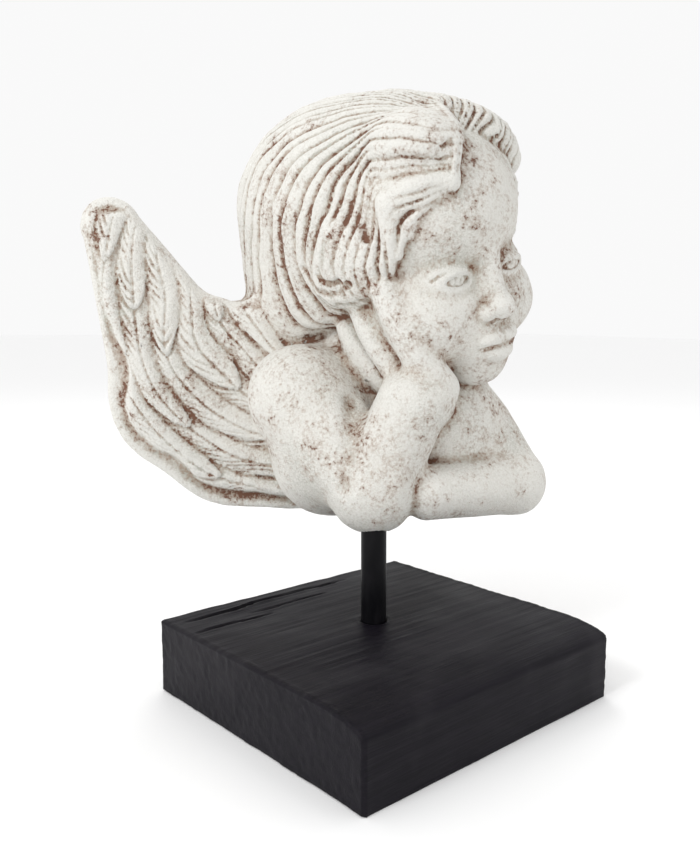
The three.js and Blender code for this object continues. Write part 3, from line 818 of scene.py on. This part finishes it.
def worn_block():
    piece = voxel_copy("block", "plank_block", WOOD_VOXEL)
    mesh = piece.data
    edges = edges_of(mesh)
    points = points_of(mesh)
    n = normals_of(mesh)
    on_top = step(0.5, 0.9, n[:, 2])
    depth = crack_depth(points) * on_top
    grain = 0.12 * lumps(points * (0.06, 1, 1), 2.5, 30) + 0.15 * lumps(points, 14, 31)
    under = step(0.4, 0.8, -n[:, 2])
    points = points + n * ((grain * (1 - under)) - depth)[:, None]
    # the edges that the remesh rounded are brought out again, unevenly, as worn ones are
    rounding = hollow_of(mesh, points, edges, 4)
    crisp = np.maximum(-rounding, 0) * (0.9 - 0.6 * lumps(points, 8, 32)) * (1 - under)
    points = points + n * crisp[:, None]
    # and the underside stays flat
    low = points[:, 2].min()
    points[:, 2] = np.where(under > 0.5, low, points[:, 2])
    points[:, 2] = np.maximum(points[:, 2], 0)
    set_points(mesh, points)
    # each crack's share of that depth, which the wood's finish paints as shade
    keep_values(mesh, "crack", np.clip(depth / CRACK_SHADE_DEPTH, 0, 1))
    smooth_faces(mesh)
    return piece


# ---------------------------------------------------------------- room
def area_light(name, at, towards, size, watts):
    lamp = bpy.data.lights.new(name, "AREA")
    lamp.shape = "DISK"
    lamp.size = size
    lamp.energy = watts
    holder = bpy.data.objects.new(name, lamp)
    holder.location = at
    holder.rotation_euler = (Vector(towards) - Vector(at)).to_track_quat("-Z", "Y").to_euler()
    bpy.context.scene.collection.objects.link(holder)


ROOM_LIGHT = 0.95
FLOOR_REACH = 6  # metres each way
FLOOR_COLOUR = (0.97, 0.97, 0.97)


def studio():
    scene = bpy.context.scene
    scene.view_settings.view_transform = "Standard"
    world = bpy.data.worlds.new("studio")
    world.use_nodes = True
    background = world.node_tree.nodes["Background"]
    background.inputs["Color"].default_value = (1.0, 1.0, 1.0, 1)
    background.inputs["Strength"].default_value = ROOM_LIGHT
    scene.world = world
    area_light("key", (-0.95, -0.05, 0.85), (0.03, 0.03, 0.17), 0.4, 5)
    area_light("top", (0.45, 0.7, 1.1), (0.0, 0.0, 0.15), 0.6, 3)

    floor = bmesh.new()
    bmesh.ops.create_grid(floor, x_segments=1, y_segments=1, size=FLOOR_REACH)
    piece = bare_object("floor", floor)
    pale = Finish("pale floor")
    pale.put("Base Color", (*FLOOR_COLOUR, 1))
    pale.put("Roughness", 0.9)
    piece.data.materials.append(pale.material)


# The camera: where it stands, which way it looks (degrees from +X and down) and its lens.
CAMERA_AT = (-264.6, -301.35, 180.45)
CAMERA_YAW = 45.41
CAMERA_DOWN = 7.97
CAMERA_ROLL = -0.6
LENS = 36.69
SENSOR = 36
SHIFT = (-0.0977, 0.0057)


def camera():
    holder = bpy.data.objects.new("camera", bpy.data.cameras.new("camera"))
    bpy.context.scene.collection.objects.link(holder)
    holder.data.lens = LENS
    holder.data.sensor_width = SENSOR
    holder.data.shift_x, holder.data.shift_y = SHIFT
    holder.data.clip_start = 0.01
    turn = Euler((math.radians(90 - CAMERA_DOWN), 0, math.radians(CAMERA_YAW - 90))).to_matrix()
    turn = turn @ Matrix.Rotation(math.radians(-CAMERA_ROLL), 3, "Z")
    holder.matrix_world = Matrix.Translation(Vector(CAMERA_AT) * MM) @ turn.to_4x4()
    bpy.context.scene.camera = holder


# ---------------------------------------------------------------- the whole
camera()
studio()
for make, node, slot, finish in (
    (carved_figure, "figure", "whitewashed_stone", whitewashed_stone),
    (painted_rod, "rod", "black_metal", black_paint),
    (worn_block, "block", "black_wood", black_wood),
):
    piece = make()
    piece.data.materials.clear()
    piece.data.materials.append(finish())
    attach(piece, "root")
    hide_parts(node)

bpy.context.view_layer.update()
